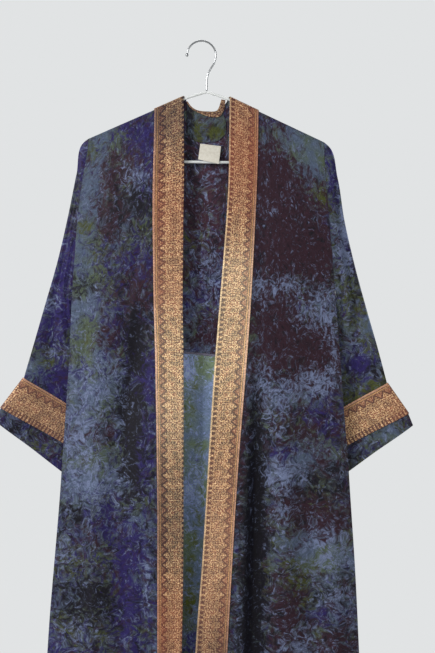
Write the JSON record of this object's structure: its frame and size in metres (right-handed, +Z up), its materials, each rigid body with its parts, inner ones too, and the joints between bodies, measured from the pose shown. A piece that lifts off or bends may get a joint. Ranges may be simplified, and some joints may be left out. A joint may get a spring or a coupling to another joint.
{
  "type": "kimono robe on a hanger",
  "caption": "Open-front kimono robe with wide sleeves, brocade front bands and cuff bands, hung flat on a thin wire hanger.",
  "frame": {"origin": "inside top of the hanger's hook, where a rail carries it", "axes": "+Z up, +X to the wearer's left, +Y to the back of the garment"},
  "size_m": [0.7335, 0.075, 1.2993],
  "materials": {
    "dyed_silk": "silk satin, tie-dyed in slate, indigo, plum and olive, soft sheen",
    "brocade": "woven metallic-thread brocade in gold and copper on red-brown",
    "facing_silk": "dyed silk, grey-green, matt on this side",
    "label_satin": "bare woven satin, off-white",
    "chromed_steel": "polished chromed wire",
    "white_lacquer": "white lacquered wire, satin gloss"
  },
  "bodies": {
    "root": {"front_r": "dyed_silk", "front_l": "dyed_silk", "back_upper": "dyed_silk", "back_lower": "dyed_silk", "sleeve_front_r": "dyed_silk", "sleeve_back_r": "dyed_silk", "sleeve_front_l": "dyed_silk", "sleeve_back_l": "dyed_silk", "sleeve_hem_r": "dyed_silk", "sleeve_hem_l": "dyed_silk", "cuff_band_r": "brocade", "cuff_band_l": "brocade", "front_band_r": "brocade", "front_band_l": "brocade", "neck_band": "brocade", "neck_facing": "facing_silk", "neck_label": "label_satin", "hook": "chromed_steel", "hanger_arm_r": "white_lacquer", "hanger_arm_l": "white_lacquer", "hanger_bar": "white_lacquer"}
  },
  "joints": []
}
